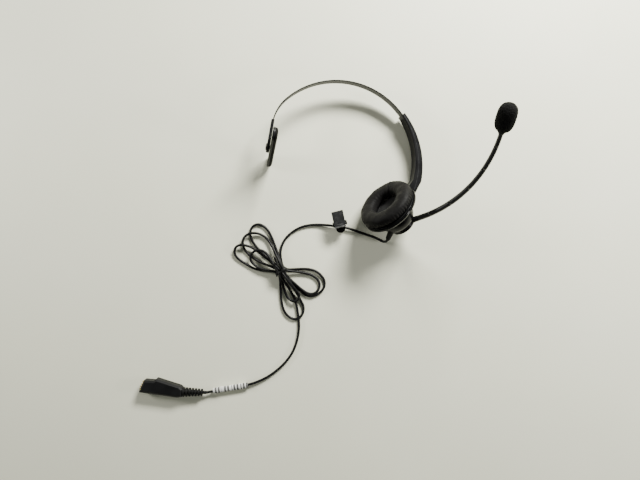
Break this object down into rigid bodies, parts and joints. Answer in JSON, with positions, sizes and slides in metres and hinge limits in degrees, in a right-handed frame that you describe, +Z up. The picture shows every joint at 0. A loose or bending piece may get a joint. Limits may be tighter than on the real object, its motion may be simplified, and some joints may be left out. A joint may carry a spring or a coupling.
{
  "type": "office headset",
  "caption": "Single-ear call-centre headset with sprung headband, temple pad, ball-jointed ear cup, turning bendable boom microphone, clothing clip, tied cord and quick-disconnect plug.",
  "frame": {"origin": "middle of the headset's footprint without its cord, on the table it lies on", "axes": "+X across the headband's open side towards the arm and microphone, +Y from the ear cup towards the top of the headband, +Z up from the table"},
  "size_m": [0.3346, 0.3084, 0.1194],
  "materials": {
    "spring_steel": "black oxide, semi-bright",
    "screw_steel": "plated",
    "satin_black": "fine satin texture",
    "gloss_black": "polished",
    "soft_black": "soft moulded",
    "temple_rubber": "soft matt",
    "leatherette": "fine grain",
    "foam": "open-cell foam",
    "cloth": "thin woven cloth",
    "magnet_metal": "plated",
    "copper": "enamelled wire",
    "film": "thin film",
    "board": "lacquered board",
    "capsule_metal": "drawn can",
    "cord_jacket": "smooth jacket",
    "tie_black": "plastic-coated wire",
    "label_white": "printed wrap",
    "contact_gold": "gold plated",
    "boom_sheath": "smooth flexible sheath",
    "liner_plastic": "low-friction plastic"
  },
  "bodies": {
    "housing": {"housing_shell": "gloss_black", "socket_plate": "satin_black", "turret_axle": "screw_steel", "detent_washer": "spring_steel", "arm_outer_shell": "satin_black", "arm_inner_shell": "satin_black", "arm_screws": "screw_steel", "detent_spring": "spring_steel", "strain_relief": "soft_black", "cord_lead": "cord_jacket", "cord_hank": "cord_jacket", "cord_tail": "cord_jacket", "hank_tie": "tie_black", "cord_label": "label_white", "plug_upper_shell": "satin_black", "plug_lower_shell": "satin_black", "plug_contacts": "contact_gold", "plug_relief": "soft_black", "clip_holder": "gloss_black"},
    "headband": {"headband_strip": "spring_steel", "band_stop": "spring_steel", "temple_stem": "satin_black", "temple_rivet": "gloss_black"},
    "temple_pad": {"temple_bar": "satin_black", "temple_cushion": "temple_rubber"},
    "ball_liner": {"ball_liner": "liner_plastic"},
    "ear_cup": {"ear_shell": "satin_black", "ball_stud": "satin_black", "cup_screws": "screw_steel", "baffle": "satin_black", "speaker_basket": "satin_black", "speaker_magnet": "magnet_metal", "voice_coil": "copper", "diaphragm": "film", "ear_cushion": "leatherette", "acoustic_cloth": "cloth", "cushion_ring": "satin_black", "terminal_board": "board"},
    "turret": {"turret_body": "gloss_black", "turret_cap": "gloss_black", "boom_root": "satin_black"},
    "boom_1": {"boom_link_1": "boom_sheath"},
    "boom_2": {"boom_link_2": "boom_sheath"},
    "boom_3": {"boom_link_3": "boom_sheath"},
    "boom_4": {"boom_link_4": "boom_sheath"},
    "boom_5": {"boom_link_5": "boom_sheath", "mic_boot": "soft_black", "mic_housing_back": "satin_black", "mic_housing_front": "satin_black", "mic_capsule": "capsule_metal", "windscreen": "foam"},
    "clip": {"clip_base": "gloss_black", "clip_pin": "screw_steel", "clip_spring": "screw_steel"},
    "clip_jaw": {"clip_jaw": "gloss_black"}
  },
  "joints": [
    {"name": "band_slide", "type": "hinge", "parent": "housing", "child": "headband", "pos_m": [-0.03317, -0.00402, 0.01807], "axis": [0.1328, 0, 0.9911], "range_deg": [-12, 14]},
    {"name": "temple_swivel", "type": "hinge", "parent": "headband", "child": "temple_pad", "pos_m": [-0.10038, 0.00887, 0.02707], "axis": [-0.9761, 0.1736, 0.1308], "range_deg": [-25, 25]},
    {"name": "cup_tilt", "type": "hinge", "parent": "housing", "child": "ball_liner", "pos_m": [0.02177, -0.05606, 0.01908], "axis": [0.7071, 0.7071, 0], "range_deg": [-6, 6]},
    {"name": "cup_turn", "type": "hinge", "parent": "ball_liner", "child": "ear_cup", "pos_m": [0.02177, -0.05606, 0.01908], "axis": [-0.3546, 0.3546, -0.8652], "range_deg": [-6, 6]},
    {"name": "turret_turn", "type": "hinge", "parent": "housing", "child": "turret", "pos_m": [0.02862, -0.06291, 0.01347], "axis": [-0.6118, 0.6118, 0.5015], "range_deg": [-100, 45]},
    {"name": "boom_flex_1", "type": "hinge", "parent": "turret", "child": "boom_1", "pos_m": [0.04345, -0.0579, 0.02543], "axis": [0.4211, 0.5233, -0.7408], "range_deg": [-10, 10]},
    {"name": "boom_flex_2", "type": "hinge", "parent": "boom_1", "child": "boom_2", "pos_m": [0.0596, -0.05043, 0.03989], "axis": [0.4211, 0.5233, -0.7408], "range_deg": [-10, 10]},
    {"name": "boom_flex_3", "type": "hinge", "parent": "boom_2", "child": "boom_3", "pos_m": [0.07318, -0.03988, 0.05507], "axis": [0.4211, 0.5233, -0.7408], "range_deg": [-10, 10]},
    {"name": "boom_flex_4", "type": "hinge", "parent": "boom_3", "child": "boom_4", "pos_m": [0.08376, -0.02658, 0.07047], "axis": [0.4211, 0.5233, -0.7408], "range_deg": [-10, 10]},
    {"name": "boom_flex_5", "type": "hinge", "parent": "boom_4", "child": "boom_5", "pos_m": [0.091, -0.01095, 0.08562], "axis": [0.4211, 0.5233, -0.7408], "range_deg": [-10, 10]},
    {"name": "clip_swivel", "type": "hinge", "parent": "housing", "child": "clip", "pos_m": [-0.03137, -0.06602, 0.0031], "axis": [0.0689, -0.2917, 0.954], "range_deg": [-90, 90]},
    {"name": "clip_open", "type": "hinge", "parent": "clip", "child": "clip_jaw", "pos_m": [-0.03199, -0.06341, 0.01191], "axis": [0.9732, 0.23, 0], "range_deg": [0, 20], "stiffness_Nm_per_rad": 0.01, "springref_deg": -17.19}
  ],
  "couplings": [
    {"joint": "boom_flex_2", "follows": "boom_flex_1", "ratio": 1},
    {"joint": "boom_flex_3", "follows": "boom_flex_1", "ratio": 1},
    {"joint": "boom_flex_4", "follows": "boom_flex_1", "ratio": 1},
    {"joint": "boom_flex_5", "follows": "boom_flex_1", "ratio": 1}
  ]
}
